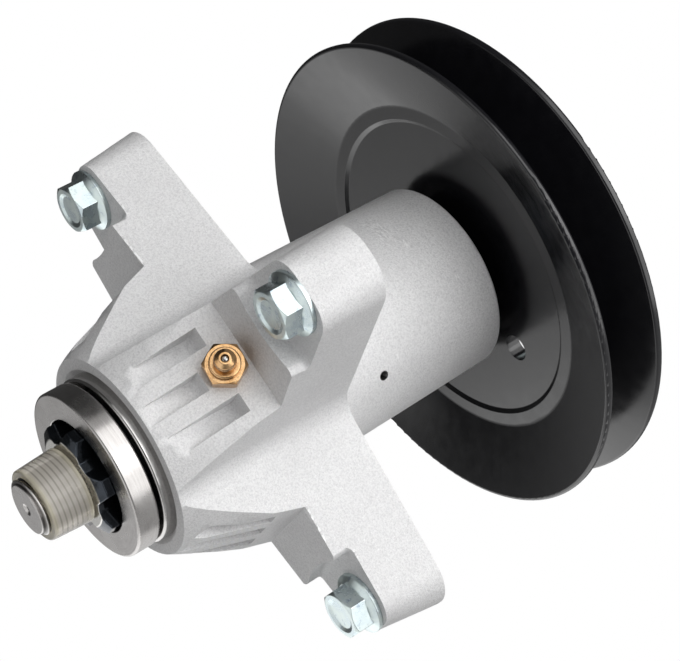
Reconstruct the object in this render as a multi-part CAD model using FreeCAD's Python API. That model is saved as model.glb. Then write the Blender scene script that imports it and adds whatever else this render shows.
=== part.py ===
import FreeCAD, Part
import math
import os
from FreeCAD import Placement, Rotation, Vector

# A spindle assembly for a ride-on mower's cutting deck: a cast housing with four feet, two ball
# bearings, a shaft with a star-shaped blade adapter at the lower end and a belt pulley at the upper
# end. The frame is the installed one: the origin is on the shaft's axis in the plane of the four
# feet that bolts against the deck, and +Z points up along the shaft towards the pulley.
# Sizes are in millimetres. The front foot, which carries the grease fitting, points along -Y.

# Housing: the barrel
BARREL_TOP = 55.2
BARREL_TOP_WALL = 3.25
BARREL_FOOT_WALL = 4.2
BEARING_SHOULDER = 2.0
NOSE_DEPTH = 52.0
NOSE_WALL = 4.6
NOSE_BORE_CHAMFER = 1.5
BARREL_TOP_CHAMFER = 1.0
VENT_RADIUS = 1.25
VENT_HEIGHT = 14.0
VENT_AZIMUTH = -45.0

# Housing: the four arms and their feet
ARM_COUNT = 4
BOLT_CIRCLE_RADIUS = 64.1
FOOT_DEPTH = 23.5
SPOT_FACE_DEPTH = 18.2
SPOT_STEP_MARGIN = 13.7
SPOT_STEP_RADIUS = 34.0
SPOT_STEP_CORNER = 3.0
SPOT_STEP_FILLET = 1.8
ARM_TAPER = 10.2
ARM_TOP_HALF_WIDTH = 11.7
ARM_LOW_HALF_WIDTH = 10.7
ARM_END_MARGIN = 11.2
ARM_END_DRAFT = 4.0
ARM_TOP_CORNER_RADIUS = 10.3
ARM_LOW_CORNER_RADIUS = 6.0
VALLEY_LOW_RADIUS = 28.0
VALLEY_TOP_RADIUS = 29.8
WEB_TOP_REACH = 37.2
WEB_NOSE_REACH = 28.3
WEB_CONE_KNEE_DEPTH = 46.5
WEB_CONE_KNEE_RADIUS = 31.0
WEB_CONE_TOP_RADIUS = 42.0

# Housing: the pockets between the ribs of each web
POCKET_COUNT = 3
POCKET_WIDTH = 5.3
POCKET_PITCH = 9.7
POCKET_END_DEPTH = 30.0
PAD_POCKET_END_DEPTH = 35.3
POCKET_START_DEPTH = 51.4
POCKET_FLOOR_REACH = 27.3
POCKET_END_ROUND = 2.6

# Bolts of the deck, which cut their own thread in its steel
BOLT_RADIUS = 3.97
BOLT_THREAD_RISE = 0.42
BOLT_HOLE_CLEARANCE = 0.25
BOLT_LENGTH = 22.2
BOLT_POINT = 1.0
BOLT_FLANGE_RADIUS = 8.5
BOLT_FLANGE_EDGE = 1.2
BOLT_HEX_ACROSS_FLATS = 12.4
BOLT_HEAD_HEIGHT = 7.4
BOLT_DISH_RADIUS = 4.9
BOLT_DISH_DEPTH = 0.5
BOLT_TURNS = (-28.0, 15.0, -4.0, 28.0)

# Grease fitting
FITTING_HOLE_DEPTH = 29.4
FITTING_HEX_ACROSS_FLATS = 10.0
FITTING_HEX_HEIGHT = 4.6
FITTING_TURN = -4.0
FITTING_STEM_RADIUS = 4.0
FITTING_STEM_LENGTH = 6.5
FITTING_NECK_RADIUS = 2.3
FITTING_COLLAR_RADIUS = 4.0
FITTING_COLLAR_HEIGHT = 1.4
FITTING_HEAD_RADIUS = 2.9
FITTING_HEAD_HEIGHT = 3.4
FITTING_NECK_HEIGHT = 1.4
FITTING_BORE_RADIUS = 1.45
FITTING_BALL_RADIUS = 1.35
FITTING_BALL_SINK = 0.15
FITTING_MOUTH_RADIUS = 1.05
FITTING_CLEARANCE = 0.05
SPRING_WIRE_THICKNESS = 0.36
SPRING_COIL_RADIUS = 1.0
SPRING_TURNS = 4
GREASE_DRILL_RADIUS = 2.0

# Ball bearings, both alike
BEARING_BORE_RADIUS = 10.0
BEARING_OUTER_RADIUS = 23.5
BEARING_WIDTH = 14.0
BEARING_NOSE_STAND = 2.6
BEARING_TOP_RECESS = 2.0
BEARING_CHAMFER = 0.8
BALL_COUNT = 8
BALL_SHARE_OF_GAP = 0.588
BALL_CLEARANCE = 0.05
LAND_SHARE_OF_BALL = 0.642
CAGE_SHARE_OF_BALL = 0.441
CAGE_SEAL_GAP = 0.5
CAGE_PRONG_REACH = 2.2
SEAL_THICKNESS = 0.9
SEAL_RECESS = 0.4
SEAL_GROOVE = 1.1
SEAL_INNER_GAP = 0.25

# Shaft and what is threaded on its lower end
SHAFT_THREAD_RADIUS = 7.94
SHAFT_THREAD_LENGTH = 13.8
SHAFT_FLAT_DISTANCE = 7.0
SHAFT_END_CHAMFER = 1.0
CENTRE_DRILL_RADIUS = 1.6
CENTRE_DRILL_DEPTH = 3.0
SEAT_CLEARANCE = 0.05
SPACER_TUBE_WALL = 3.0
ADAPTER_FLANGE_RADIUS = 17.0
ADAPTER_FLANGE_THICKNESS = 1.1
ADAPTER_STAND = 3.6
STAR_TIP_RADIUS = 15.5
STAR_NOTCH_RADIUS = 11.4
STAR_POINTS = 6
STAR_TIP_WIDTH_ANGLE = 17.0
STAR_NOTCH_WIDTH_ANGLE = 14.0
STAR_CHAMFER_REACH = 3.0
STAR_CHAMFER_DEPTH = 1.4
RING_EDGE_STEP = 0.2
RING_STAR_CLEARANCE = 0.4
RING_THICKNESS = 6.5
RING_CHAMFER = 0.7
PROTECTOR_LENGTH = 11.3
PROTECTOR_GAP = 0.6
PROTECTOR_BORE_CLEARANCE = 0.1
PROTECTOR_REAR_RADIUS = 10.5
PROTECTOR_FRONT_RADIUS = 9.8

# Belt pulley of two pressed plates, and its hub
PULLEY_RADIUS = 70.0
PULLEY_RIM_WIDTH = 21.1
PULLEY_SHEET = 2.2
HUB_SPACER_LENGTH = 7.15
HUB_SPACER_STEP = 0.2
DISC_RADIUS = 44.2
STEP_RADIUS = 45.3
STEP_HEIGHT = 0.8
WALL_ROOT_RADIUS = 49.2
ROOT_BEND_RADIUS = 2.5
RIM_EDGE_ROUND = 0.9
DRIVE_HOLE_RADIUS = 3.9
DRIVE_HOLE_CIRCLE = 29.7
DRIVE_HOLE_AZIMUTH = -9.0
WASHER_RADIUS = 15.0
WASHER_THICKNESS = 2.5
NUT_FLANGE_RADIUS = 15.5
NUT_FLANGE_EDGE = 1.6
NUT_ACROSS_FLATS = 23.8
NUT_HEIGHT = 13.5
SHAFT_PAST_NUT = 3.0

# Radii that follow from the bearing's and the star's
BARREL_TOP_RADIUS = BEARING_OUTER_RADIUS + BARREL_TOP_WALL
BARREL_FOOT_RADIUS = BEARING_OUTER_RADIUS + BARREL_FOOT_WALL
BARREL_BORE_RADIUS = BEARING_OUTER_RADIUS - BEARING_SHOULDER
NOSE_RADIUS = BEARING_OUTER_RADIUS + NOSE_WALL
BALL_CIRCLE_RADIUS = (BEARING_BORE_RADIUS + BEARING_OUTER_RADIUS) / 2
BALL_RADIUS = BALL_SHARE_OF_GAP * (BEARING_OUTER_RADIUS - BEARING_BORE_RADIUS) / 2
INNER_LAND_RADIUS = BALL_CIRCLE_RADIUS - LAND_SHARE_OF_BALL * BALL_RADIUS
OUTER_LAND_RADIUS = BALL_CIRCLE_RADIUS + LAND_SHARE_OF_BALL * BALL_RADIUS
RING_OUTER_RADIUS = BEARING_OUTER_RADIUS - RING_EDGE_STEP
RING_BORE_RADIUS = STAR_TIP_RADIUS + RING_STAR_CLEARANCE
HUB_SPACER_RADIUS = INNER_LAND_RADIUS - HUB_SPACER_STEP

# Levels along the axis that follow from the sizes above
NOSE_Z = -NOSE_DEPTH
FOOT_UNDER_Z = -FOOT_DEPTH
SPOT_FACE_Z = -SPOT_FACE_DEPTH
LOW_BEARING_Z = NOSE_Z - BEARING_NOSE_STAND
LOW_SHOULDER_Z = LOW_BEARING_Z + BEARING_WIDTH
TOP_BEARING_END_Z = BARREL_TOP - BEARING_TOP_RECESS
TOP_BEARING_Z = TOP_BEARING_END_Z - BEARING_WIDTH
RING_REAR_Z = LOW_BEARING_Z - ADAPTER_FLANGE_THICKNESS
RING_FRONT_Z = RING_REAR_Z - RING_THICKNESS
ADAPTER_FRONT_Z = RING_FRONT_Z - ADAPTER_STAND
SHAFT_TIP_Z = ADAPTER_FRONT_Z - SHAFT_THREAD_LENGTH
PROTECTOR_REAR_Z = ADAPTER_FRONT_Z - PROTECTOR_GAP
PROTECTOR_FRONT_Z = PROTECTOR_REAR_Z - PROTECTOR_LENGTH
DISC_LOW_Z = TOP_BEARING_END_Z + HUB_SPACER_LENGTH
PULLEY_MIDDLE_Z = DISC_LOW_Z + PULLEY_SHEET
DISC_TOP_Z = PULLEY_MIDDLE_Z + PULLEY_SHEET
WASHER_TOP_Z = DISC_TOP_Z + WASHER_THICKNESS
NUT_TOP_Z = WASHER_TOP_Z + NUT_HEIGHT
SHAFT_TOP_Z = NUT_TOP_Z + SHAFT_PAST_NUT
WEB_SLOPE = (WEB_TOP_REACH - WEB_NOSE_REACH) / (NOSE_DEPTH - FOOT_DEPTH)
WEB_ANGLE = math.degrees(math.atan(WEB_SLOPE))
BALL_SEAT = BALL_RADIUS + BALL_CLEARANCE
FITTING_TOP = (FITTING_HEX_HEIGHT + FITTING_COLLAR_HEIGHT + FITTING_NECK_HEIGHT
               + FITTING_HEAD_HEIGHT)
BEYOND = 5.0


def web_reach(z):
    """How far the sloping face of a web stands from the axis at a level z."""
    return WEB_TOP_REACH + WEB_SLOPE * (z - FOOT_UNDER_Z)


def turned(shape, angle, axis=Vector(0, 0, 1), centre=Vector(0, 0, 0)):
    """A copy of a shape, turned about an axis."""
    copy = shape.copy()
    copy.rotate(centre, axis, angle)
    return copy


def wire_of(corners):
    """A closed wire in the XZ plane through (x, z, radius) corners, each rounded by its radius."""
    count = len(corners)
    edges = []
    starts = []
    ends = []
    for i in range(count):
        x, z, radius = corners[i]
        here = Vector(x, 0, z)
        before = Vector(corners[i - 1][0], 0, corners[i - 1][1])
        after = Vector(corners[(i + 1) % count][0], 0, corners[(i + 1) % count][1])
        into = (here - before).normalize()
        out = (after - here).normalize()
        turn = into.getAngle(out)
        if radius == 0 or turn < 1e-6:
            starts.append(here)
            ends.append(here)
            continue
        set_back = radius * math.tan(turn / 2)
        first = here - into * set_back
        last = here + out * set_back
        inward = (out - into).normalize()
        bulge = radius / math.cos(turn / 2) - radius
        edges.append(Part.Arc(first, here + inward * bulge, last).toShape())
        starts.append(first)
        ends.append(last)
    for i in range(count):
        start = ends[i]
        end = starts[(i + 1) % count]
        if start.distanceToPoint(end) > 1e-6:
            edges.append(Part.LineSegment(start, end).toShape())
    return Part.Wire(Part.__sortEdges__(edges))


def lathe(corners):
    """A solid turned about the shaft's axis from (radius, z) or (radius, z, round) corners."""
    full = [tuple(c) if len(c) == 3 else (c[0], c[1], 0) for c in corners]
    return Part.Face(wire_of(full)).revolve(Vector(0, 0, 0), Vector(0, 0, 1), 360)


def rod(radius, low, high):
    """A plain cylinder on the axis between two levels."""
    return Part.makeCylinder(radius, high - low, Vector(0, 0, low))


def hexagon_prism(across_flats, low, high):
    """A hexagonal prism on the axis between two levels."""
    corner = across_flats / 2 / math.cos(math.pi / 6)
    points = [Vector(corner * math.cos(math.radians(60 * i)), corner * math.sin(math.radians(60 * i)), low)
              for i in range(7)]
    return Part.Face(Part.makePolygon(points)).extrude(Vector(0, 0, high - low))


def half_width(at_bolt, reach):
    """Half the width of an arm at a reach from the axis, from its half width beside the bolt."""
    return at_bolt + math.tan(math.radians(ARM_TAPER)) * (BOLT_CIRCLE_RADIUS - reach)


def arm_outline(z, at_bolt, end_reach, corner, valley):
    """The plan of the four tapered arms at one level, with one round valley between each two."""
    angle = math.radians(ARM_TAPER)
    half_root = half_width(at_bolt, 0)
    centre = (valley - half_root * math.cos(angle)) / (math.sqrt(2) - math.cos(angle) - math.sin(angle))
    valley_round = centre * math.sqrt(2) - valley
    root_x = centre - valley_round * math.sin(angle)
    root_y = centre - valley_round * math.cos(angle)
    corner_x = end_reach - corner
    corner_y = half_width(at_bolt, corner_x) - corner / math.cos(angle)
    side_x = corner_x + corner * math.sin(angle)
    side_y = corner_y + corner * math.cos(angle)
    half = (angle + math.pi / 2) / 2
    middle = (corner_x + corner * math.sin(half), corner_y + corner * math.cos(half))
    edges = []
    for i in range(ARM_COUNT):
        def at(x, y, step=i):
            a = 2 * math.pi * step / ARM_COUNT
            return Vector(x * math.cos(a) - y * math.sin(a), x * math.sin(a) + y * math.cos(a), z)
        diagonal = valley / math.sqrt(2)
        edges.append(Part.LineSegment(at(root_x, -root_y), at(side_x, -side_y)).toShape())
        edges.append(Part.Arc(at(side_x, -side_y), at(middle[0], -middle[1]),
                              at(end_reach, -corner_y)).toShape())
        edges.append(Part.LineSegment(at(end_reach, -corner_y), at(end_reach, corner_y)).toShape())
        edges.append(Part.Arc(at(end_reach, corner_y), at(middle[0], middle[1]),
                              at(side_x, side_y)).toShape())
        edges.append(Part.LineSegment(at(side_x, side_y), at(root_x, root_y)).toShape())
        edges.append(Part.Arc(at(root_x, root_y), at(diagonal, diagonal),
                              at(root_y, root_x)).toShape())
    return Part.Wire(edges)


def pocket(offset, end_depth):
    """The tool that cuts one pocket of the +X arm's web, at an offset across the arm."""
    low = POCKET_START_DEPTH
    outside = WEB_TOP_REACH + BEYOND
    corners = [(web_reach(-low), -low, 0), (outside, -low, 0), (outside, -end_depth, 0),
               (POCKET_FLOOR_REACH, -end_depth, POCKET_END_ROUND)]
    tool = Part.Face(wire_of(corners)).extrude(Vector(0, POCKET_WIDTH, 0))
    tool.translate(Vector(0, offset - POCKET_WIDTH / 2, 0))
    return tool


def spot_face():
    """The tool that steps the +X foot up to its bolt's seat, open to the foot's end and sides."""
    wall = BOLT_CIRCLE_RADIUS - SPOT_STEP_MARGIN
    at_seat = (ARM_LOW_HALF_WIDTH
               + (ARM_TOP_HALF_WIDTH - ARM_LOW_HALF_WIDTH) * (1 - SPOT_FACE_DEPTH / FOOT_DEPTH))
    side = half_width(at_seat, wall - SPOT_STEP_CORNER)
    far = 2 * BOLT_CIRCLE_RADIUS
    corner_y = side - SPOT_STEP_CORNER
    lean = math.asin(corner_y / (SPOT_STEP_RADIUS + SPOT_STEP_CORNER))
    corner_x = wall + SPOT_STEP_RADIUS - (SPOT_STEP_RADIUS + SPOT_STEP_CORNER) * math.cos(lean)

    def on_corner(angle, hand):
        """A point of the rounded corner on one hand of the arm."""
        return Vector(corner_x + SPOT_STEP_CORNER * math.cos(angle),
                      hand * (corner_y + SPOT_STEP_CORNER * math.sin(angle)), 0)

    middle = (math.pi / 2 - lean) / 2
    sides = [on_corner(math.pi / 2, 1), Vector(corner_x, far, 0), Vector(far, far, 0),
             Vector(far, -far, 0), Vector(corner_x, -far, 0), on_corner(math.pi / 2, -1)]
    edges = [Part.LineSegment(sides[i], sides[i + 1]).toShape() for i in range(len(sides) - 1)]
    edges.append(Part.Arc(sides[-1], on_corner(middle, -1), on_corner(-lean, -1)).toShape())
    edges.append(Part.Arc(on_corner(-lean, -1), Vector(wall, 0, 0), on_corner(-lean, 1)).toShape())
    edges.append(Part.Arc(on_corner(-lean, 1), on_corner(middle, 1), sides[0]).toShape())
    plan = Part.Face(Part.Wire(edges))
    plan.translate(Vector(0, 0, NOSE_Z))
    tool = plan.extrude(Vector(0, 0, SPOT_FACE_Z - NOSE_Z))
    foot_of_wall = [edge for edge in tool.Edges
                    if edge.BoundBox.ZMin > SPOT_FACE_Z - 0.01 and edge.Curve.TypeId == "Part::GeomCircle"]
    return tool.makeFillet(SPOT_STEP_FILLET, foot_of_wall)


def fitting_placement():
    """The place of the grease fitting: square to the sloping pad of the front arm."""
    spin = Rotation(Vector(1, 0, 0), 90 + WEB_ANGLE)
    return Placement(Vector(0, -web_reach(-FITTING_HOLE_DEPTH), -FITTING_HOLE_DEPTH), spin)


def placed_at_fitting(shape):
    """Move a shape made upright on the axis to the grease fitting's place."""
    copy = shape.copy()
    copy.Placement = fitting_placement().multiply(copy.Placement)
    return copy


def spindle_housing():
    """The aluminium casting: barrel, nose, four webbed arms with feet, and all bored seats."""
    end_reach = BOLT_CIRCLE_RADIUS + ARM_END_MARGIN
    low = arm_outline(FOOT_UNDER_Z, ARM_LOW_HALF_WIDTH, end_reach - ARM_END_DRAFT,
                      ARM_LOW_CORNER_RADIUS, VALLEY_LOW_RADIUS)
    top = arm_outline(0, ARM_TOP_HALF_WIDTH, end_reach, ARM_TOP_CORNER_RADIUS, VALLEY_TOP_RADIUS)
    feet = Part.makeLoft([low, top], True, True)
    webs = Part.Face(low).extrude(Vector(0, 0, NOSE_Z - FOOT_UNDER_Z))
    envelope = lathe([(0, NOSE_Z), (NOSE_RADIUS, NOSE_Z, 0), (WEB_CONE_KNEE_RADIUS, -WEB_CONE_KNEE_DEPTH, 0),
                      (WEB_CONE_TOP_RADIUS, FOOT_UNDER_Z), (0, FOOT_UNDER_Z)])
    webs = webs.common(envelope)
    far = end_reach + BEYOND
    below = NOSE_Z - BEYOND
    side = Part.Face(wire_of([(WEB_TOP_REACH, FOOT_UNDER_Z, 0), (far, FOOT_UNDER_Z, 0), (far, below, 0),
                              (web_reach(below), below, 0)]))
    trim = side.extrude(Vector(0, 2 * far, 0))
    trim.translate(Vector(0, -far, 0))
    tools = []
    for i in range(ARM_COUNT):
        azimuth = 360 * i / ARM_COUNT
        tools.append(turned(trim, azimuth))
        carries_fitting = i == ARM_COUNT - 1
        for n in range(POCKET_COUNT):
            offset = (n - (POCKET_COUNT - 1) / 2) * POCKET_PITCH
            middle_of_pad = carries_fitting and offset == 0
            end = PAD_POCKET_END_DEPTH if middle_of_pad else POCKET_END_DEPTH
            tools.append(turned(pocket(offset, end), azimuth))
    webs = webs.cut(Part.Compound(tools))
    barrel = lathe([(0, NOSE_Z), (NOSE_RADIUS - BEYOND / 5, NOSE_Z), (BARREL_FOOT_RADIUS, FOOT_UNDER_Z),
                    (BARREL_FOOT_RADIUS, 0), (BARREL_TOP_RADIUS, BARREL_TOP, BARREL_TOP_CHAMFER),
                    (0, BARREL_TOP)])
    casting = barrel.fuse([webs, feet]).removeSplitter()
    bores = [
        rod(BARREL_BORE_RADIUS, NOSE_Z - BEYOND, BARREL_TOP + BEYOND),
        rod(BEARING_OUTER_RADIUS, NOSE_Z - BEYOND, LOW_SHOULDER_Z),
        rod(BEARING_OUTER_RADIUS, TOP_BEARING_Z, BARREL_TOP + BEYOND),
        lathe([(0, NOSE_Z - BEYOND), (BEARING_OUTER_RADIUS + NOSE_BORE_CHAMFER + BEYOND, NOSE_Z - BEYOND),
               (BEARING_OUTER_RADIUS, NOSE_Z + NOSE_BORE_CHAMFER), (0, NOSE_Z + NOSE_BORE_CHAMFER)]),
    ]
    vent = Part.makeCylinder(VENT_RADIUS, BARREL_FOOT_RADIUS + BEYOND,
                             Vector(0, 0, VENT_HEIGHT), Vector(1, 0, 0))
    bores.append(turned(vent, VENT_AZIMUTH))
    for i in range(ARM_COUNT):
        azimuth = 360 * i / ARM_COUNT
        hole = rod(BOLT_RADIUS + BOLT_HOLE_CLEARANCE, NOSE_Z, BEYOND)
        hole.translate(Vector(BOLT_CIRCLE_RADIUS, 0, 0))
        bores.append(turned(hole, azimuth))
        bores.append(turned(spot_face(), azimuth))
    stem_hole = rod(FITTING_STEM_RADIUS + FITTING_CLEARANCE, -FITTING_STEM_LENGTH - 1, BEYOND)
    drill = rod(GREASE_DRILL_RADIUS, -WEB_TOP_REACH / 2, 0)
    bores.append(placed_at_fitting(stem_hole))
    bores.append(placed_at_fitting(drill))
    return casting.cut(Part.Compound(bores))


def mounting_bolts():
    """Four hexagon flange bolts, plain in the feet, whose thread beyond them cuts into the deck."""
    hex_low = SPOT_FACE_Z - BOLT_HEAD_HEIGHT
    shank_top = SPOT_FACE_Z + BOLT_LENGTH
    corner = BOLT_HEX_ACROSS_FLATS / 2 / math.cos(math.pi / 6)
    blank = BOLT_RADIUS - BOLT_THREAD_RISE
    shank = lathe([(0, SPOT_FACE_Z), (blank, SPOT_FACE_Z), (blank, -BOLT_THREAD_RISE), (BOLT_RADIUS, 0),
                   (BOLT_RADIUS, shank_top - BOLT_POINT), (BOLT_RADIUS - BOLT_POINT, shank_top),
                   (0, shank_top)])
    flange = lathe([(0, SPOT_FACE_Z), (BOLT_FLANGE_RADIUS, SPOT_FACE_Z),
                    (BOLT_FLANGE_RADIUS, SPOT_FACE_Z - BOLT_FLANGE_EDGE, 0.4),
                    (corner - 0.6, SPOT_FACE_Z - 2 * BOLT_FLANGE_EDGE),
                    (0, SPOT_FACE_Z - 2 * BOLT_FLANGE_EDGE)])
    cap = lathe([(0, SPOT_FACE_Z), (corner + 1, SPOT_FACE_Z), (corner + 1, hex_low + 1.4),
                 (corner - 1.1, hex_low), (0, hex_low)])
    head = hexagon_prism(BOLT_HEX_ACROSS_FLATS, hex_low, SPOT_FACE_Z).common(cap)
    dish = lathe([(0, hex_low - 1), (BOLT_DISH_RADIUS, hex_low - 1), (BOLT_DISH_RADIUS, hex_low),
                  (BOLT_DISH_RADIUS - 1, hex_low + BOLT_DISH_DEPTH), (0, hex_low + BOLT_DISH_DEPTH)])
    bolt = head.fuse([flange, shank]).cut(dish).removeSplitter()
    bolts = []
    for i in range(ARM_COUNT):
        copy = turned(bolt, BOLT_TURNS[i])
        copy.translate(Vector(BOLT_CIRCLE_RADIUS, 0, 0))
        bolts.append(turned(copy, 360 * i / ARM_COUNT))
    return Part.Compound(bolts)


def fitting_levels():
    """Heights of the grease fitting's ball and spring above the pad."""
    ball_z = FITTING_TOP - FITTING_BALL_SINK - FITTING_BALL_RADIUS
    spring_top = ball_z - FITTING_BALL_RADIUS
    spring_base = FITTING_HEX_HEIGHT / 2
    return ball_z, spring_top, spring_base


def grease_fitting_body():
    """The brass fitting: hexagon, tapered stem, collar, neck and ball-check head."""
    ball_z, spring_top, spring_base = fitting_levels()
    corner = FITTING_HEX_ACROSS_FLATS / 2 / math.cos(math.pi / 6)
    cap = lathe([(0, 0), (corner - 0.4, 0), (corner + 0.3, 0.7), (corner + 0.3, FITTING_HEX_HEIGHT - 0.9),
                 (corner - 0.9, FITTING_HEX_HEIGHT), (0, FITTING_HEX_HEIGHT)])
    hexagon = turned(hexagon_prism(FITTING_HEX_ACROSS_FLATS, 0, FITTING_HEX_HEIGHT), FITTING_TURN)
    body = hexagon.common(cap)
    collar_top = FITTING_HEX_HEIGHT + FITTING_COLLAR_HEIGHT
    head_low = collar_top + FITTING_NECK_HEIGHT
    stem = lathe([(0, -FITTING_STEM_LENGTH), (FITTING_STEM_RADIUS - 0.5, -FITTING_STEM_LENGTH),
                  (FITTING_STEM_RADIUS, 1 - FITTING_STEM_LENGTH), (FITTING_STEM_RADIUS, 1), (0, 1)])
    head = lathe([(0, 1), (FITTING_COLLAR_RADIUS, 1), (FITTING_COLLAR_RADIUS, collar_top, 0.4),
                  (FITTING_NECK_RADIUS, collar_top), (FITTING_NECK_RADIUS, head_low),
                  (FITTING_HEAD_RADIUS, head_low + 0.9, 0.5),
                  (FITTING_HEAD_RADIUS - 0.3, FITTING_TOP - 0.9, 0.6),
                  (FITTING_MOUTH_RADIUS + 0.5, FITTING_TOP, 0.3), (0, FITTING_TOP)])
    seat = ball_z + FITTING_BALL_RADIUS * 0.45
    bore = lathe([(0, spring_base), (FITTING_BORE_RADIUS, spring_base), (FITTING_BORE_RADIUS, seat),
                  (FITTING_MOUTH_RADIUS, seat + 0.7), (FITTING_MOUTH_RADIUS, FITTING_TOP + 1),
                  (0, FITTING_TOP + 1)])
    feed = rod(FITTING_MOUTH_RADIUS - 0.3, -FITTING_STEM_LENGTH - 1, spring_base + 0.5)
    return placed_at_fitting(body.fuse([stem, head]).cut(bore.fuse(feed)).removeSplitter())


def grease_fitting_ball():
    """The steel check ball in the fitting's mouth."""
    ball_z, spring_top, spring_base = fitting_levels()
    return placed_at_fitting(Part.makeSphere(FITTING_BALL_RADIUS, Vector(0, 0, ball_z)))


def grease_fitting_spring():
    """The light coil spring of square wire that holds the check ball shut."""
    ball_z, spring_top, spring_base = fitting_levels()
    half = SPRING_WIRE_THICKNESS / 2
    height = spring_top - spring_base - SPRING_WIRE_THICKNESS
    helix = Part.makeHelix(height / SPRING_TURNS, height, SPRING_COIL_RADIUS)
    corners = [Vector(SPRING_COIL_RADIUS + x * half, 0, z * half)
               for x, z in ((-1, -1), (1, -1), (1, 1), (-1, 1), (-1, -1))]
    spring = Part.Wire(helix).makePipeShell([Part.makePolygon(corners)], True, True)
    spring.translate(Vector(0, 0, spring_base + half))
    return placed_at_fitting(spring)


def bearing_outer_race(low):
    """Outer race with its ball track and the two grooves that hold the seals."""
    high = low + BEARING_WIDTH
    groove = OUTER_LAND_RADIUS + SEAL_GROOVE
    groove_depth = SEAL_RECESS + SEAL_THICKNESS
    track = Part.makeTorus(BALL_CIRCLE_RADIUS, BALL_SEAT, Vector(0, 0, low + BEARING_WIDTH / 2))
    race = lathe([(OUTER_LAND_RADIUS, low + groove_depth), (groove, low + groove_depth), (groove, low),
                  (BEARING_OUTER_RADIUS, low, BEARING_CHAMFER),
                  (BEARING_OUTER_RADIUS, high, BEARING_CHAMFER),
                  (groove, high), (groove, high - groove_depth), (OUTER_LAND_RADIUS, high - groove_depth)])
    return race.cut(track)


def bearing_inner_race(low):
    """Inner race with its ball track."""
    high = low + BEARING_WIDTH
    track = Part.makeTorus(BALL_CIRCLE_RADIUS, BALL_SEAT, Vector(0, 0, low + BEARING_WIDTH / 2))
    race = lathe([(BEARING_BORE_RADIUS, low, BEARING_CHAMFER), (INNER_LAND_RADIUS, low),
                  (INNER_LAND_RADIUS, high), (BEARING_BORE_RADIUS, high, BEARING_CHAMFER)])
    return race.cut(track)


def ball_centres(low):
    """Centres of one bearing's balls."""
    return [Vector(BALL_CIRCLE_RADIUS * math.cos(2 * math.pi * i / BALL_COUNT),
                   BALL_CIRCLE_RADIUS * math.sin(2 * math.pi * i / BALL_COUNT), low + BEARING_WIDTH / 2)
            for i in range(BALL_COUNT)]


def bearing_balls(low):
    """The ring of steel balls."""
    return Part.Compound([Part.makeSphere(BALL_RADIUS, centre) for centre in ball_centres(low)])


def bearing_cage(low):
    """The crown cage: a ring behind the balls with prongs that reach between them."""
    middle = low + BEARING_WIDTH / 2
    inner = BALL_CIRCLE_RADIUS - CAGE_SHARE_OF_BALL * BALL_RADIUS
    outer = BALL_CIRCLE_RADIUS + CAGE_SHARE_OF_BALL * BALL_RADIUS
    back = middle + BEARING_WIDTH / 2 - SEAL_RECESS - SEAL_THICKNESS - CAGE_SEAL_GAP
    ring = lathe([(inner, middle - CAGE_PRONG_REACH), (outer, middle - CAGE_PRONG_REACH),
                  (outer, back), (inner, back)])
    hollows = [Part.makeSphere(BALL_SEAT, centre) for centre in ball_centres(low)]
    return ring.cut(Part.Compound(hollows))


def bearing_seals(low):
    """The two thin seal rings pressed into the outer race."""
    inner = INNER_LAND_RADIUS + SEAL_INNER_GAP
    outer = OUTER_LAND_RADIUS + SEAL_GROOVE
    seals = []
    for base in (low + SEAL_RECESS, low + BEARING_WIDTH - SEAL_RECESS - SEAL_THICKNESS):
        seals.append(lathe([(inner, base), (outer, base), (outer, base + SEAL_THICKNESS),
                            (inner, base + SEAL_THICKNESS)]))
    return Part.Compound(seals)


def bearing_spacer_tube():
    """The tube that keeps the two inner races apart."""
    inner = BEARING_BORE_RADIUS + SEAT_CLEARANCE
    outer = BEARING_BORE_RADIUS + SPACER_TUBE_WALL
    return lathe([(inner, LOW_SHOULDER_Z), (outer, LOW_SHOULDER_Z), (outer, TOP_BEARING_Z),
                  (inner, TOP_BEARING_Z)])


def flatted(radius, low, high):
    """A rod with two flats, which turns what has the same bore."""
    flats = Part.makeBox(2 * SHAFT_FLAT_DISTANCE, 4 * radius, high - low,
                         Vector(-SHAFT_FLAT_DISTANCE, -2 * radius, low))
    return rod(radius, low, high).common(flats)


def spindle_shaft():
    """The steel shaft: bearing journals between two threaded ends with driving flats."""
    thread = SHAFT_THREAD_RADIUS
    chamfer = SHAFT_END_CHAMFER
    journal = rod(BEARING_BORE_RADIUS, LOW_BEARING_Z, TOP_BEARING_END_Z)
    low_thread = lathe([(0, SHAFT_TIP_Z), (thread - chamfer, SHAFT_TIP_Z), (thread, SHAFT_TIP_Z + chamfer),
                        (thread, ADAPTER_FRONT_Z), (0, ADAPTER_FRONT_Z)])
    low_seat = flatted(thread, ADAPTER_FRONT_Z, LOW_BEARING_Z)
    top_seat = flatted(thread, TOP_BEARING_END_Z, DISC_TOP_Z)
    top_thread = lathe([(0, DISC_TOP_Z), (thread, DISC_TOP_Z), (thread, SHAFT_TOP_Z - chamfer),
                        (thread - chamfer, SHAFT_TOP_Z), (0, SHAFT_TOP_Z)])
    drill = lathe([(0, SHAFT_TIP_Z - 1), (CENTRE_DRILL_RADIUS + 1, SHAFT_TIP_Z - 1),
                   (CENTRE_DRILL_RADIUS / 2, SHAFT_TIP_Z + CENTRE_DRILL_RADIUS / 2),
                   (CENTRE_DRILL_RADIUS / 2, SHAFT_TIP_Z + CENTRE_DRILL_DEPTH),
                   (0, SHAFT_TIP_Z + CENTRE_DRILL_DEPTH)])
    return journal.fuse([low_thread, low_seat, top_seat, top_thread]).cut(drill)


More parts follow.
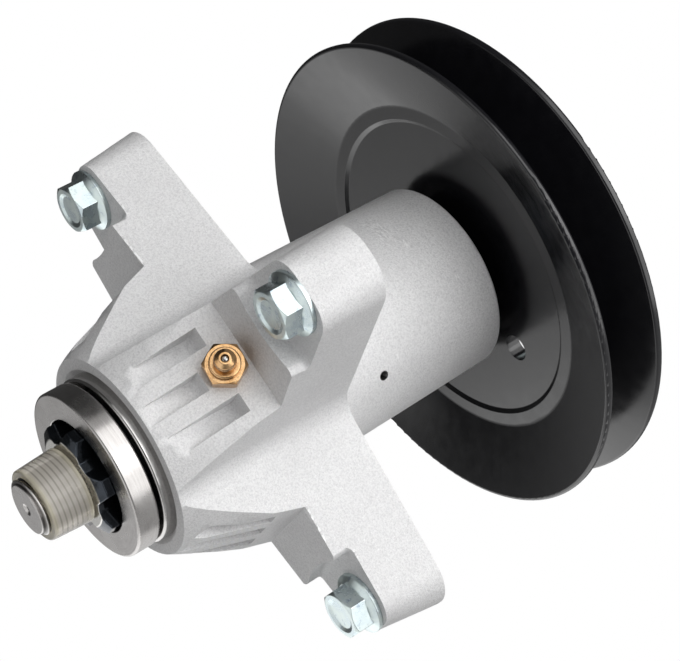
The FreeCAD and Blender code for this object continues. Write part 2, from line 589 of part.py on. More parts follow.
def blade_star_adapter():
    """The hardened star that drives the blade, with a thin flange behind the spacer ring."""
    points = []
    for i in range(STAR_POINTS):
        tip = 360 * i / STAR_POINTS
        notch = tip + 180 / STAR_POINTS
        for angle, radius in ((tip - STAR_TIP_WIDTH_ANGLE / 2, STAR_TIP_RADIUS),
                              (tip + STAR_TIP_WIDTH_ANGLE / 2, STAR_TIP_RADIUS),
                              (notch - STAR_NOTCH_WIDTH_ANGLE / 2, STAR_NOTCH_RADIUS),
                              (notch + STAR_NOTCH_WIDTH_ANGLE / 2, STAR_NOTCH_RADIUS)):
            a = math.radians(angle)
            points.append(Vector(radius * math.cos(a), radius * math.sin(a), ADAPTER_FRONT_Z))
    points.append(points[0])
    star = Part.Face(Part.makePolygon(points)).extrude(Vector(0, 0, RING_REAR_Z - ADAPTER_FRONT_Z))
    crown = lathe([(0, ADAPTER_FRONT_Z), (STAR_TIP_RADIUS - STAR_CHAMFER_REACH, ADAPTER_FRONT_Z),
                   (STAR_TIP_RADIUS, ADAPTER_FRONT_Z + STAR_CHAMFER_DEPTH),
                   (STAR_TIP_RADIUS, RING_REAR_Z), (0, RING_REAR_Z)])
    flange = rod(ADAPTER_FLANGE_RADIUS, RING_REAR_Z, LOW_BEARING_Z)
    bore = flatted(SHAFT_THREAD_RADIUS, ADAPTER_FRONT_Z, LOW_BEARING_Z)
    return star.common(crown).fuse(flange).cut(bore)


def blade_spacer_ring():
    """The ground steel ring that the blade is clamped against."""
    return lathe([(RING_BORE_RADIUS, RING_FRONT_Z, RING_CHAMFER / 2),
                  (RING_OUTER_RADIUS, RING_FRONT_Z, RING_CHAMFER),
                  (RING_OUTER_RADIUS, RING_REAR_Z, RING_CHAMFER), (RING_BORE_RADIUS, RING_REAR_Z)])


def thread_protector():
    """The plastic sleeve pushed over the blade thread for transport."""
    bore = SHAFT_THREAD_RADIUS + PROTECTOR_BORE_CLEARANCE
    return lathe([(bore, PROTECTOR_FRONT_Z), (PROTECTOR_FRONT_RADIUS, PROTECTOR_FRONT_Z, 0.5),
                  (PROTECTOR_REAR_RADIUS, PROTECTOR_REAR_Z, 0.4), (bore, PROTECTOR_REAR_Z)])


def plate_half():
    """One pressed plate as it lies below the pulley's middle plane, with depths counted downwards."""
    rim_depth = PULLEY_RIM_WIDTH / 2
    sheet = PULLEY_SHEET
    root_depth = sheet + STEP_HEIGHT
    angle = math.atan((rim_depth - root_depth) / (PULLEY_RADIUS - WALL_ROOT_RADIUS))
    lean = sheet / math.cos(angle)
    step_in = sheet * math.tan(angle / 2)
    inner_root = WALL_ROOT_RADIUS + step_in
    tip_radius = PULLEY_RADIUS - sheet * math.sin(angle) / 2
    slope = math.tan(angle)
    middle = PULLEY_MIDDLE_Z
    corners = [
        (SHAFT_THREAD_RADIUS, middle - sheet, 0),
        (DISC_RADIUS, middle - sheet, 0.4),
        (STEP_RADIUS, middle - root_depth, 0.4),
        (WALL_ROOT_RADIUS, middle - root_depth, ROOT_BEND_RADIUS),
        (PULLEY_RADIUS, middle - rim_depth, RIM_EDGE_ROUND),
        (tip_radius, middle - rim_depth + lean + slope * (PULLEY_RADIUS - tip_radius), RIM_EDGE_ROUND),
        (inner_root, middle - STEP_HEIGHT, ROOT_BEND_RADIUS + sheet),
        (STEP_RADIUS + STEP_HEIGHT / 2, middle - STEP_HEIGHT, 0),
        (DISC_RADIUS + STEP_HEIGHT / 2, middle, 0),
        (SHAFT_THREAD_RADIUS, middle, 0),
    ]
    disc = Part.Face(wire_of(corners)).revolve(Vector(0, 0, 0), Vector(0, 0, 1), 360)
    hole = rod(DRIVE_HOLE_RADIUS, middle - rim_depth, middle + 1)
    hole.translate(Vector(DRIVE_HOLE_CIRCLE, 0, 0))
    return disc.cut(turned(hole, DRIVE_HOLE_AZIMUTH))


def pulley_plate(below):
    """The lower plate, or the upper one, which is its mirror image, with the hub's flats in its bore."""
    plate = plate_half()
    if not below:
        plate = plate.mirror(Vector(0, 0, PULLEY_MIDDLE_Z), Vector(0, 0, 1))
    low = DISC_LOW_Z if below else PULLEY_MIDDLE_Z
    blank = rod(SHAFT_THREAD_RADIUS + 1, low, low + PULLEY_SHEET)
    return plate.fuse(blank).cut(flatted(SHAFT_THREAD_RADIUS, low, low + PULLEY_SHEET)).removeSplitter()


def pulley_hub_spacer():
    """The collar between the upper inner race and the pulley."""
    blank = lathe([(0, TOP_BEARING_END_Z), (INNER_LAND_RADIUS - 0.6, TOP_BEARING_END_Z),
                   (HUB_SPACER_RADIUS, TOP_BEARING_END_Z + 1.5), (HUB_SPACER_RADIUS, DISC_LOW_Z),
                   (0, DISC_LOW_Z)])
    return blank.cut(flatted(SHAFT_THREAD_RADIUS, TOP_BEARING_END_Z, DISC_LOW_Z))


def pulley_washer():
    """The thick flat washer on top of the pulley."""
    bore = SHAFT_THREAD_RADIUS + SEAT_CLEARANCE
    return lathe([(bore, DISC_TOP_Z), (WASHER_RADIUS, DISC_TOP_Z, 0.4), (WASHER_RADIUS, WASHER_TOP_Z, 0.4),
                  (bore, WASHER_TOP_Z)])


def pulley_nut():
    """The hexagon flange nut that clamps pulley, spacer, races and adapter on the shaft."""
    corner = NUT_ACROSS_FLATS / 2 / math.cos(math.pi / 6)
    flange = lathe([(0, WASHER_TOP_Z), (NUT_FLANGE_RADIUS, WASHER_TOP_Z),
                    (NUT_FLANGE_RADIUS, WASHER_TOP_Z + NUT_FLANGE_EDGE, 0.5),
                    (corner - 1, WASHER_TOP_Z + 2 * NUT_FLANGE_EDGE),
                    (0, WASHER_TOP_Z + 2 * NUT_FLANGE_EDGE)])
    cap = lathe([(0, WASHER_TOP_Z), (corner + 1, WASHER_TOP_Z), (corner + 1, NUT_TOP_Z - 2),
                 (corner - 1.6, NUT_TOP_Z), (0, NUT_TOP_Z)])
    body = hexagon_prism(NUT_ACROSS_FLATS, WASHER_TOP_Z, NUT_TOP_Z).common(cap)
    bore = rod(SHAFT_THREAD_RADIUS, WASHER_TOP_Z, NUT_TOP_Z)
    return body.fuse(flange).cut(bore).removeSplitter()


PIECES = {
    "spindle_housing": spindle_housing(),
    "mounting_bolts": mounting_bolts(),
    "grease_fitting_body": grease_fitting_body(),
    "grease_fitting_ball": grease_fitting_ball(),
    "grease_fitting_spring": grease_fitting_spring(),
    "bearing_spacer_tube": bearing_spacer_tube(),
    "spindle_shaft": spindle_shaft(),
    "blade_star_adapter": blade_star_adapter(),
    "blade_spacer_ring": blade_spacer_ring(),
    "thread_protector": thread_protector(),
    "pulley_lower_plate": pulley_plate(True),
    "pulley_upper_plate": pulley_plate(False),
    "pulley_hub_spacer": pulley_hub_spacer(),
    "pulley_washer": pulley_washer(),
    "pulley_nut": pulley_nut(),
}
for place, level in (("lower", LOW_BEARING_Z), ("upper", TOP_BEARING_Z)):
    PIECES[place + "_bearing_outer_race"] = bearing_outer_race(level)
    PIECES[place + "_bearing_inner_race"] = bearing_inner_race(level)
    PIECES[place + "_bearing_balls"] = bearing_balls(level)
    PIECES[place + "_bearing_cage"] = bearing_cage(level)
    PIECES[place + "_bearing_seals"] = bearing_seals(level)

os.makedirs("parts", exist_ok=True)
for name, shape in PIECES.items():
    shape.exportStep("parts/" + name + ".step")
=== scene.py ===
import bmesh
import bpy
import math
from mathutils import Matrix, Vector


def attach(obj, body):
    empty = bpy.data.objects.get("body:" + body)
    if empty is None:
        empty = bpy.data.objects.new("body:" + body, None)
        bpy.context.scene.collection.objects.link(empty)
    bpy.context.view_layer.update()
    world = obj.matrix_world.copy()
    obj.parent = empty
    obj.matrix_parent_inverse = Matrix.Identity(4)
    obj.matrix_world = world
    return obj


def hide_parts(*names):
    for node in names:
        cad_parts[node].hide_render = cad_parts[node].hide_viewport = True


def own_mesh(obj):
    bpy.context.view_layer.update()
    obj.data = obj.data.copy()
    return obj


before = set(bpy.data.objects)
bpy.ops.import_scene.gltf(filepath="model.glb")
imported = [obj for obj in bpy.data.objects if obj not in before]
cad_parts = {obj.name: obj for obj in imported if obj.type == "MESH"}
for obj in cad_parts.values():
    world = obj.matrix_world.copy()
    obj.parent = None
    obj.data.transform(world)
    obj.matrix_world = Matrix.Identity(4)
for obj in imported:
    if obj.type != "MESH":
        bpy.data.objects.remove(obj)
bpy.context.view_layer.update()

# The spindle housing: one aluminium casting, shot-blasted all over, with its barrel, its four arms
# and the ribbed webs below them. Its edges are soft from the mould, the barrel has a few scuffs, and
# the mould left ragged flash along the side feet's front lower edges, drawn as a bump with paler
# colour on it as a painted highlight. The vent's bore is painted dark, as painted shade.


class Mark:
    """A socket of a finish's node tree, which can stand in a sum, a product or a power."""

    def __init__(self, tree, port=None):
        self.tree = tree
        self.port = port

    def node(self, kind, settings, sockets, out=0):
        """A new node with its settings made first, and then the values or links of its sockets."""
        made = self.tree.nodes.new("ShaderNode" + kind)
        for name, value in settings.items():
            setattr(made, name, value)
        for name, value in sockets.items():
            if isinstance(value, Mark):
                self.tree.links.new(value.port, made.inputs[name])
            else:
                made.inputs[name].default_value = value
        return Mark(self.tree, made.outputs[out])

    def maths(self, operation, first, second=0.0):
        return self.node("Math", {"operation": operation}, {0: first, 1: second})

    def __add__(self, other):
        return self.maths("ADD", self, other)

    __radd__ = __add__

    def __mul__(self, other):
        return self.maths("MULTIPLY", self, other)

    __rmul__ = __mul__

    def __sub__(self, other):
        return self.maths("SUBTRACT", self, other)

    def __rsub__(self, other):
        return self.maths("SUBTRACT", other, self)

    def __truediv__(self, other):
        return self.maths("DIVIDE", self, other)

    def __pow__(self, other):
        return self.maths("POWER", self, other)

    def __abs__(self):
        return self.maths("ABSOLUTE", self)

    def place(self):
        """The point on the piece, in metres."""
        return self.node("TexCoord", {}, {}, "Object")

    def part(self, axis):
        """One of a vector's three numbers."""
        return self.node("SeparateXYZ", {}, {0: self}, axis)

    def reach(self):
        """How far a point stands from the shaft's axis."""
        return (self.part("X") ** 2.0 + self.part("Y") ** 2.0) ** 0.5

    def noise(self, where, scale, detail=2.0, rough=0.5):
        return self.node("TexNoise", {}, {"Vector": where, "Scale": scale, "Detail": detail,
                                          "Roughness": rough})

    def between(self, value, low, high, to_low=0.0, to_high=1.0):
        """A value brought from one range to another and kept inside it."""
        return self.node("MapRange", {}, {"Value": value, "From Min": low, "From Max": high,
                                          "To Min": to_low, "To Max": to_high})

    def shade(self, factor, first, second):
        """A colour between two, by a factor."""
        return self.node("Mix", {"data_type": "RGBA"}, {"Factor": factor, 6: first, 7: second}, 2)

    def bump(self, height, depth):
        """A surface that stands out by a height of 0 to 1 times a depth in metres."""
        return self.node("Bump", {}, {"Height": height, "Distance": depth})


def new_finish(name, **even):
    """A finish whose even values are set on its shader, with underscores for spaces."""
    material = bpy.data.materials.new(name)
    material.use_nodes = True
    shader = material.node_tree.nodes["Principled BSDF"]
    for key, value in even.items():
        shader.inputs[key.replace("_", " ")].default_value = value
    return material, Mark(material.node_tree), shader


def feed(mark, shader, name):
    """Link what changes over the surface to a socket of the shader."""
    mark.tree.links.new(mark.port, shader.inputs[name])


def settle(piece, body, material, nodes=()):
    """Give a piece its finish and its body, and let it stand for the solids it is made from."""
    piece.data.materials.clear()
    piece.data.materials.append(material)
    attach(piece, body)
    if nodes:
        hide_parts(*nodes)
    return piece


def piece_of(name, bm, sharp=32):
    """A piece from a finished bmesh, smooth except where it turns by more than some degrees."""
    mesh = bpy.data.meshes.new(name)
    bm.to_mesh(mesh)
    bm.free()
    mesh.polygons.foreach_set("use_smooth", [True] * len(mesh.polygons))
    mesh.set_sharp_from_angle(angle=math.radians(sharp))
    piece = bpy.data.objects.new(name, mesh)
    bpy.context.scene.collection.objects.link(piece)
    return piece


def solid_copy(node):
    """A bmesh of a solid with its triangles merged and its flat faces whole again."""
    bm = bmesh.new()
    bm.from_mesh(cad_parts[node].data)
    bmesh.ops.remove_doubles(bm, verts=bm.verts, dist=1e-6)
    bmesh.ops.dissolve_limit(bm, angle_limit=math.radians(0.4), verts=bm.verts, edges=bm.edges,
                             delimit={"NORMAL"})
    return bm


def soften(piece, width, angle=40, segments=2):
    """Round a piece's sharp edges by a width in metres, and keep its flat faces evenly lit."""
    if width:
        bevel = piece.modifiers.new("edges", "BEVEL")
        bevel.width = width
        bevel.segments = segments
        bevel.limit_method = "ANGLE"
        bevel.angle_limit = math.radians(angle)
    even = piece.modifiers.new("flat faces", "WEIGHTED_NORMAL")
    even.keep_sharp = True
    return piece


cast, mark, shader = new_finish("shot_blasted_aluminium", Metallic=0.08, IOR=1.5)
place = mark.place()
clouds = mark.noise(place, 38, 4, 0.6)
grain = mark.noise(place, 1900, 3, 0.7)
blast = mark.noise(place, 3200, 2, 0.6)
glints = mark.between(blast, 0.60, 0.70)
base = mark.shade(mark.between(clouds, 0.3, 0.7), (0.77, 0.765, 0.77, 1), (0.84, 0.84, 0.84, 1))
base = mark.shade(mark.between(grain, 0.58, 0.31) * 0.6, base, (0.50, 0.495, 0.505, 1))
base = mark.shade(glints * 0.75, base, (0.98, 0.98, 0.98, 1))
angle = mark.maths("ARCTAN2", place.part("Y"), place.part("X"))
stretched = mark.node("VectorMath", {"operation": "MULTIPLY"}, {0: place, 1: (1.0, 1.0, 3.2)})
streaks = mark.noise(stretched, 620, 2, 0.5)
scuffs = 0.0
for azimuth, level, across, along in ((-122, 35.5, 0.30, 3.0), (-105, 38.5, 0.10, 1.4), (-75, 45.2, 0.06, 0.8),
                                      (-51, 19.2, 0.05, 0.7), (-92, 26.0, 0.07, 0.6)):
    side = mark.between(abs(angle - math.radians(azimuth)) / across, 0.5, 1.0, 1.0, 0.0)
    height = mark.between(abs(place.part("Z") - level / 1000) * (1000 / along), 0.5, 1.0, 1.0, 0.0)
    scuffs = side * height + scuffs
on_barrel = mark.between(place.reach(), 0.0284, 0.0288, 1.0, 0.0)
scuffs = scuffs * on_barrel
base = mark.shade(scuffs * mark.between(streaks, 0.54, 0.60) * 0.35, base, (0.45, 0.45, 0.46, 1))
base = mark.shade(scuffs * mark.between(streaks, 0.44, 0.38) * 0.7, base, (0.95, 0.95, 0.95, 1))
# The vent's bore, darkened almost to black: painted shade inside the hole.
vent = ((place.part("X") + place.part("Y")) ** 2.0 * 0.5 + (place.part("Z") - 0.0139) ** 2.0) ** 0.5
vent_painted_shade = mark.between(vent, 0.0014, 0.0013) * mark.between(place.reach(), 0.0283, 0.0280)
base = mark.shade(vent_painted_shade * mark.between(place.part("X"), 0.0, 0.001), base, (0.02, 0.02, 0.02, 1))
# Ragged flash along the side feet's front lower edges: a bump, and paler colour on it as a painted highlight.
flash_and_painted_highlight = 0.0
for front, low, out in ((-0.0126, -0.0177, 0.052), (-0.0138, -0.0230, 0.037)):
    strip = mark.between(place.part("Y"), front + 0.0003, front) * mark.between(place.part("Z"), low + 0.0003, low)
    flash_and_painted_highlight = strip * mark.between(abs(place.part("X")), out, out + 0.001) + flash_and_painted_highlight
flash_and_painted_highlight = flash_and_painted_highlight * mark.between(mark.noise(place, 700, 3, 0.6), 0.42, 0.50)
base = mark.shade(flash_and_painted_highlight * 0.95, base, (0.99, 0.99, 0.99, 1))
feed(base, shader, "Base Color")
feed(mark.between(grain, 0.3, 0.7, 0.44, 0.64), shader, "Roughness")
feed(mark.bump(grain * 0.6 + blast * 0.4 + flash_and_painted_highlight, 0.00022), shader, "Normal")

housing = piece_of("housing_casting", solid_copy("spindle_housing"))
soften(housing, 0.0005)
settle(housing, "housing", cast, ["spindle_housing"])

# The four hexagon flange bolts, cold-formed steel with clear zinc plating, whose heads are dished
# by the forming tool. Their rolled thread, which cuts into the deck, stands above the feet.

zinc, mark, shader = new_finish("clear_zinc_plate", Metallic=1.0)
place = mark.place()
haze = mark.noise(place, 240, 3, 0.6)
fine = mark.noise(place, 1700, 2, 0.5)
blots = mark.between(mark.noise(place, 520, 3, 0.65), 0.58, 0.70)
tint = mark.shade(mark.between(haze, 0.35, 0.65), (0.50, 0.58, 0.61, 1), (0.66, 0.74, 0.72, 1))
tint = mark.shade(blots * 0.6, tint, (0.26, 0.33, 0.42, 1))
feed(tint, shader, "Base Color")
feed(mark.between(haze, 0.3, 0.7, 0.24, 0.36), shader, "Roughness")
feed(mark.bump(fine, 0.00002), shader, "Normal")

FINE_PITCH = 0.001411


def threaded(crest, low, high, steps=40):
    """A threaded rod on the shaft's axis: one pitch of the thread's outline, swept up in a helix."""
    root = crest - 0.54 * FINE_PITCH
    bm = bmesh.new()
    outline = [(root, 0), (root, 0.25), (crest, 0.5625), (crest, 0.6875), (root, 1)]
    corners = [bm.verts.new((x, 0, low + (z - 1) * FINE_PITCH)) for x, z in outline]
    edges = [bm.edges.new(pair) for pair in zip(corners, corners[1:])]
    turns = math.ceil((high - low) / FINE_PITCH) + 2
    bmesh.ops.spin(bm, geom=corners + edges, cent=(0, 0, 0), axis=(0, 0, 1), dvec=(0, 0, FINE_PITCH / steps),
                   angle=math.tau * turns, steps=steps * turns)
    bmesh.ops.remove_doubles(bm, verts=bm.verts, dist=FINE_PITCH / 100)
    for level, side in ((low, -1), (high, 1)):
        bmesh.ops.bisect_plane(bm, geom=bm.verts[:] + bm.edges[:] + bm.faces[:], plane_co=(0, 0, level),
                               plane_no=(0, 0, side), clear_outer=True)
    bmesh.ops.remove_doubles(bm, verts=bm.verts, dist=FINE_PITCH / 200)
    bmesh.ops.holes_fill(bm, edges=bm.edges, sides=0)
    bmesh.ops.recalc_face_normals(bm, faces=bm.faces)
    return bm


def slim(bm, low, high, radius, centre=(0, 0)):
    """Bring what lies between two levels in to a radius, so that a thread can stand round it."""
    for vert in bm.verts:
        x, y = vert.co.x - centre[0], vert.co.y - centre[1]
        reach = math.hypot(x, y)
        if low <= vert.co.z <= high and radius < reach < 1.3 * radius:
            vert.co.x = centre[0] + x * radius / reach
            vert.co.y = centre[1] + y * radius / reach


BOLT_CIRCLE = 0.0641
BOLT_CREST = 0.00397
BOLT_THREAD_TOP = 0.0034
bolt_heads = solid_copy("mounting_bolts")
bolt_threads = bmesh.new()
one_thread = bpy.data.meshes.new("one_thread")
thread_bm = threaded(BOLT_CREST, 0.0002, BOLT_THREAD_TOP)
bmesh.ops.translate(thread_bm, verts=thread_bm.verts, vec=(BOLT_CIRCLE, 0, 0))
thread_bm.to_mesh(one_thread)
thread_bm.free()
for quarter in range(4):
    turn = Matrix.Rotation(math.radians(90 * quarter), 4, "Z")
    centre = turn @ Vector((BOLT_CIRCLE, 0, 0))
    slim(bolt_heads, 0.00001, 0.0035, BOLT_CREST - 0.55 * FINE_PITCH, centre)
    one_thread.transform(turn if quarter == 0 else Matrix.Rotation(math.radians(90), 4, "Z"))
    bolt_threads.from_mesh(one_thread)
bolts = piece_of("deck_bolts", bolt_heads)
soften(bolts, 0.00022, 25)
settle(bolts, "housing", zinc, ["mounting_bolts"])
settle(piece_of("deck_bolt_threads", bolt_threads), "housing", zinc)

# The grease fitting, turned from hexagon bar and yellow plated, screwed square into the sloping
# pad of the front arm. A spring holds its small steel ball up against the mouth.

yellow, mark, shader = new_finish("yellow_plate", Metallic=1.0)
place = mark.place()
haze = mark.noise(place, 420, 3, 0.6)
feed(mark.shade(mark.between(haze, 0.35, 0.65), (0.50, 0.29, 0.13, 1), (0.68, 0.44, 0.23, 1)), shader,
     "Base Color")
feed(mark.between(haze, 0.3, 0.7, 0.17, 0.27), shader, "Roughness")
feed(mark.bump(mark.noise(place, 1700, 2, 0.5), 0.00002), shader, "Normal")

fitting = piece_of("grease_fitting", solid_copy("grease_fitting_body"))
soften(fitting, 0.00015, 25)
settle(fitting, "housing", yellow, ["grease_fitting_body"])

steel, mark, shader = new_finish("ground_bearing_steel", Metallic=1.0)
place = mark.place()
spread = mark.node("CombineXYZ", {}, {"X": place.reach() * 5200, "Y": place.part("Z") * 5200,
                                      "Z": mark.maths("ARCTAN2", place.part("Y"), place.part("X")) * 9.0})
lines = mark.noise(spread, 1.0, 3, 0.6)
haze = mark.noise(place, 160, 3, 0.6)
tone = mark.shade(mark.between(lines, 0.3, 0.7), (0.42, 0.41, 0.40, 1), (0.52, 0.51, 0.50, 1))
feed(mark.shade(mark.between(haze, 0.45, 0.7) * 0.3, tone, (0.36, 0.35, 0.345, 1)), shader, "Base Color")
feed(mark.between(lines, 0.3, 0.7, 0.14, 0.24), shader, "Roughness")
feed(mark.bump(lines, 0.000003), shader, "Normal")

ball = piece_of("check_ball", solid_copy("grease_fitting_ball"))
settle(ball, "check_ball", steel, ["grease_fitting_ball"])
spring = piece_of("check_spring", solid_copy("grease_fitting_spring"))
settle(spring, "housing", steel, ["grease_fitting_spring"])
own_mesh(spring)

# The two ball bearings: ground races, steel balls in a nylon crown cage, and rubber seals. The
# lower one stands a little out of the nose, so the rim of its outer race shows.

nylon, mark, shader = new_finish("natural_nylon", Roughness=0.5)
mottle = mark.noise(mark.place(), 300, 3, 0.5)
feed(mark.shade(mottle, (0.70, 0.66, 0.55, 1), (0.79, 0.75, 0.64, 1)), shader, "Base Color")
rubber, mark, shader = new_finish("seal_rubber", Roughness=0.65)
mottle = mark.noise(mark.place(), 700, 3, 0.5)
feed(mark.shade(mottle, (0.02, 0.02, 0.02, 1), (0.045, 0.045, 0.045, 1)), shader, "Base Color")
feed(mark.bump(mottle, 0.00003), shader, "Normal")

for end in ("lower", "upper"):
    for part, body, slot, material, edge in (
            ("outer_race", "housing", "bearing_steel", steel, 0.0001),
            ("inner_race", "rotor", "bearing_steel", steel, 0.0001),
            ("balls", end + "_ball_set", "bearing_steel", steel, 0),
            ("cage", end + "_ball_set", "cage_nylon", nylon, 0),
            ("seals", "housing", "seal_rubber", rubber, 0.0001)):
        node = end + "_bearing_" + part
        made = piece_of(end + "_" + part, solid_copy(node))
        soften(made, edge)
        settle(made, body, material, [node])

# The shaft and the tube that spaces the inner races: turned steel, with rolled threads at both
# ends. The blade thread shows through the sleeve and at the tip, round the centre drilling; its
# roots and the drilling are painted dark, as painted shade.

SHAFT_CREST = 0.00794
SHAFT_TIP = -0.0796
ADAPTER_FRONT = -0.0658
shaft_bm = solid_copy("spindle_shaft")
core = SHAFT_CREST - 0.55 * FINE_PITCH
turned, mark, shader = new_finish("turned_steel")
place = mark.place()
reach = place.reach()
spread = mark.node("CombineXYZ", {}, {"X": reach * 2400, "Y": place.part("Z") * 2400,
                                      "Z": mark.maths("ARCTAN2", place.part("Y"), place.part("X")) * 3.0})
lines = mark.noise(spread, 1.0, 2, 0.5)
haze = mark.noise(place, 130, 3, 0.6)
tone = mark.shade(mark.between(haze, 0.3, 0.7), (0.36, 0.345, 0.335, 1), (0.47, 0.455, 0.445, 1))
tone = mark.shade(mark.between(lines, 0.3, 0.7) * 0.35, tone, (0.56, 0.55, 0.54, 1))
in_thread = mark.between(place.part("Z"), -0.0654, -0.0658)
in_root = mark.between(reach, SHAFT_CREST - 0.0001, SHAFT_CREST - 0.00055) * mark.between(reach, 0.0068, 0.0070)
on_tip = mark.between(place.part("Z"), SHAFT_TIP + 0.0001, SHAFT_TIP + 0.0004)
# The blade thread's roots, darkened: painted shade in the roots.
painted_root_shade = in_root * in_thread * on_tip
tone = mark.shade(painted_root_shade * 0.85, tone, (0.05, 0.045, 0.04, 1))
# The centre drilling, near black, dull and not metallic: painted shade inside the hole.
painted_drill_shade = mark.between(reach, 0.00085, 0.00070) * in_thread
feed(mark.shade(painted_drill_shade, tone, (0.02, 0.02, 0.02, 1)), shader, "Base Color")
feed(1.0 - painted_drill_shade, shader, "Metallic")
feed(mark.between(haze, 0.3, 0.7, 0.20, 0.32) + painted_drill_shade * 0.6, shader, "Roughness")
feed(mark.bump(lines, 0.000003), shader, "Normal")

slim(shaft_bm, SHAFT_TIP - 0.001, ADAPTER_FRONT - 0.0001, core)
slim(shaft_bm, 0.0800, 0.0900, core)
shaft = piece_of("shaft", shaft_bm)
soften(shaft, 0.0002)
settle(shaft, "rotor", turned, ["spindle_shaft"])
blade_thread = piece_of("blade_thread", threaded(SHAFT_CREST - 0.00004, SHAFT_TIP + 0.0006, ADAPTER_FRONT, 72))
settle(blade_thread, "rotor", turned)
nut_thread = piece_of("nut_thread", threaded(SHAFT_CREST - 0.00004, 0.0780, 0.0832, 72))
settle(nut_thread, "rotor", turned)
tube = soften(piece_of("spacer_tube", solid_copy("bearing_spacer_tube")), 0.0002)
settle(tube, "rotor", turned, ["bearing_spacer_tube"])

# The star adapter that drives the blade, hardened and blacked in oil, with a ground front face, and
# the ground ring round it that the blade is clamped against.

black_oxide, mark, shader = new_finish("oiled_black_oxide", Metallic=0.9)
place = mark.place()
haze = mark.noise(place, 350, 4, 0.6)
ground = mark.between(place.part("Z"), ADAPTER_FRONT + 0.00012, ADAPTER_FRONT + 0.00004)
dark = mark.shade(haze, (0.022, 0.026, 0.031, 1), (0.065, 0.075, 0.090, 1))
feed(mark.shade(ground, dark, (0.60, 0.59, 0.56, 1)), shader, "Base Color")
feed(mark.between(haze, 0.3, 0.7, 0.08, 0.16), shader, "Roughness")
feed(mark.bump(mark.noise(place, 700, 2, 0.5), 0.00003), shader, "Normal")

star = piece_of("star_adapter", solid_copy("blade_star_adapter"), 12)
soften(star, 0.0003, 12)
settle(star, "rotor", black_oxide, ["blade_star_adapter"])
ring = soften(piece_of("spacer_ring", solid_copy("blade_spacer_ring")), 0.00012)
settle(ring, "rotor", turned, ["blade_spacer_ring"])

# The thread protector, a translucent plastic sleeve pushed over the blade thread for transport.

clear, mark, shader = new_finish("yellowed_clear_plastic", Transmission_Weight=0.6, IOR=1.4)
place = mark.place()
cloud = mark.noise(place, 180, 3, 0.5)
height = place.part("Z")
around = mark.maths("ARCTAN2", place.part("Y"), place.part("X")) / math.tau
turn = mark.maths("FRACT", height / FINE_PITCH - around)
milky = mark.shade(cloud, (0.72, 0.69, 0.63, 1), (0.78, 0.75, 0.69, 1))
# Dark helical lines at the thread's pitch: painted shade of the thread's roots, seen through the plastic.
milky = mark.shade(mark.between(abs(turn - 0.5), 0.22, 0.08) * 0.8, milky, (0.34, 0.31, 0.28, 1))
ends = mark.between(abs(height + 0.07205), 0.0040, 0.0052)
feed(mark.shade(ends * 0.7, milky, (0.84, 0.79, 0.62, 1)), shader, "Base Color")
feed(mark.between(cloud, 0.3, 0.7, 0.10, 0.15), shader, "Roughness")

sleeve = soften(piece_of("thread_sleeve", solid_copy("thread_protector")), 0)
settle(sleeve, "rotor", clear, ["thread_protector"])

# The pulley: two plates pressed from sheet and laid back to back, coated in smooth black, on a
# collar above the upper bearing, with a thick washer and a flange nut over them.

black, mark, shader = new_finish("black_powder_coat", IOR=1.6)
place = mark.place()
peel = mark.noise(place, 260, 3, 0.5)
feed(mark.shade(peel, (0.0045, 0.0045, 0.006, 1), (0.009, 0.009, 0.011, 1)), shader, "Base Color")
feed(mark.between(peel, 0.3, 0.7, 0.17, 0.24), shader, "Roughness")
feed(mark.bump(peel, 0.000012), shader, "Normal")

for name, node, slot, material, edge in (
        ("pulley_low_plate", "pulley_lower_plate", "black_paint", black, 0),
        ("pulley_top_plate", "pulley_upper_plate", "black_paint", black, 0),
        ("hub_collar", "pulley_hub_spacer", "black_oxide", black_oxide, 0.0002),
        ("pulley_thick_washer", "pulley_washer", "clear_zinc", zinc, 0),
        ("pulley_flange_nut", "pulley_nut", "clear_zinc", zinc, 0.0003)):
    settle(soften(piece_of(name, solid_copy(node)), edge, 25), "rotor", material, [node])

# The studio: a pale floor well below the part, a white backdrop that metal sees as a bright table
# in a darker room, six soft lamps, mostly on the right and below, and the photograph's camera.

right = Vector((0.557460, -0.302632, 0.773080))
up = Vector((-0.815648, -0.373258, 0.442038))
back = Vector((0.154784, -0.876980, -0.454917))
AMBIENT = 0.03

floor_mesh = bmesh.new()
bmesh.ops.create_grid(floor_mesh, x_segments=1, y_segments=1, size=0.8,
                      matrix=Matrix.Translation((0, 0, -1.3)))
floor = piece_of("floor", floor_mesh)
pale, mark, shader = new_finish("pale_floor", Base_Color=(0.86, 0.86, 0.86, 1), Roughness=0.8)
glow = mark.node("Emission", {}, {"Color": (1, 1, 1, 1), "Strength": 0.95})
seen = 0.0
for ray in ("Is Camera Ray", "Is Glossy Ray", "Is Transmission Ray"):
    seen = mark.maths("MAXIMUM", mark.node("LightPath", {}, {}, ray), seen)
mixed = mark.node("MixShader", {}, {0: seen * 0.65, 1: Mark(mark.tree, shader.outputs[0]), 2: glow})
mark.tree.links.new(mixed.port, mark.tree.nodes["Material Output"].inputs["Surface"])
floor.data.materials.append(pale)

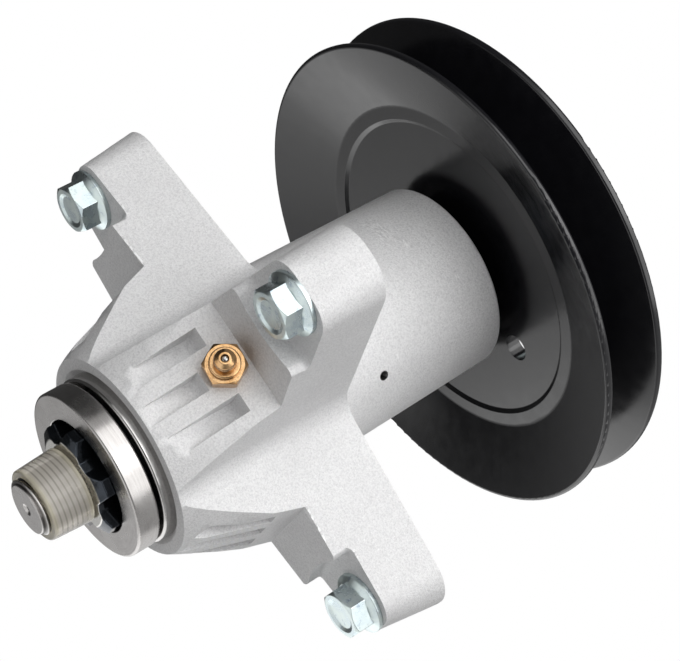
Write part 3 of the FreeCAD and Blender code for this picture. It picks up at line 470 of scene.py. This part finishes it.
world = bpy.data.worlds.new("studio")
bpy.context.scene.world = world
world.use_nodes = True
sky = world.node_tree.nodes["Background"]
mark = Mark(world.node_tree)
direction = mark.node("TexCoord", {}, {}, "Generated")
table = tuple(-0.35 * right - 0.87 * up - 0.35 * back)
window = tuple(0.8 * right - 0.6 * up)
to_table = mark.node("VectorMath", {"operation": "DOT_PRODUCT"}, {0: direction, 1: table}, "Value")
to_window = mark.node("VectorMath", {"operation": "DOT_PRODUCT"}, {0: direction, 1: window}, "Value")
room = mark.maths("MAXIMUM", mark.between(to_table, 0.60, 0.90, 0.05, 1.0),
                  mark.between(to_window, 0.2, 0.9, 0.06, 0.5))
plain = mark.maths("MAXIMUM", mark.node("LightPath", {}, {}, "Is Camera Ray"),
                   mark.node("LightPath", {}, {}, "Is Transmission Ray"))
shiny = mark.node("LightPath", {}, {}, "Is Glossy Ray") * room
strength = mark.maths("MAXIMUM", mark.maths("MAXIMUM", plain, shiny), AMBIENT)
sky.inputs["Color"].default_value = (1, 1, 1, 1)
mark.tree.links.new(strength.port, sky.inputs["Strength"])


def lamp(name, across, height, toward, power):
    """A square soft lamp, placed by the camera's own directions and aimed at the housing."""
    light = bpy.data.lights.new(name, "AREA")
    light.shape = "SQUARE"
    light.size = 1.0
    light.energy = power
    thing = bpy.data.objects.new(name, light)
    bpy.context.scene.collection.objects.link(thing)
    thing.location = right * across + up * height + back * toward
    thing.rotation_mode = "QUATERNION"
    thing.rotation_quaternion = thing.location.to_track_quat("Z", "Y")


lamp("upper_right", 0.452, 0.452, 0.633, 5.2)
lamp("right", 0.72, 0.0, 0.54, 5.3)
lamp("over_camera", 0.0, 0.54, 0.72, 2.0)
lamp("left", -0.72, 0.0, 0.54, 0.6)
lamp("low_left", -0.548, -0.548, 0.457, 1.2)
lamp("table", -0.09, -0.677, -0.587, 2.1)

eye = bpy.data.cameras.new("eye")
eye.lens = 105.91
eye.sensor_width = 36
camera = bpy.data.objects.new("eye", eye)
bpy.context.scene.collection.objects.link(camera)
camera.matrix_world = Matrix(((right.x, up.x, back.x, 0.08367), (right.y, up.y, back.y, -0.47449),
                              (right.z, up.z, back.z, -0.22535), (0, 0, 0, 1)))
bpy.context.scene.camera = camera
bpy.context.scene.view_settings.view_transform = "Standard"
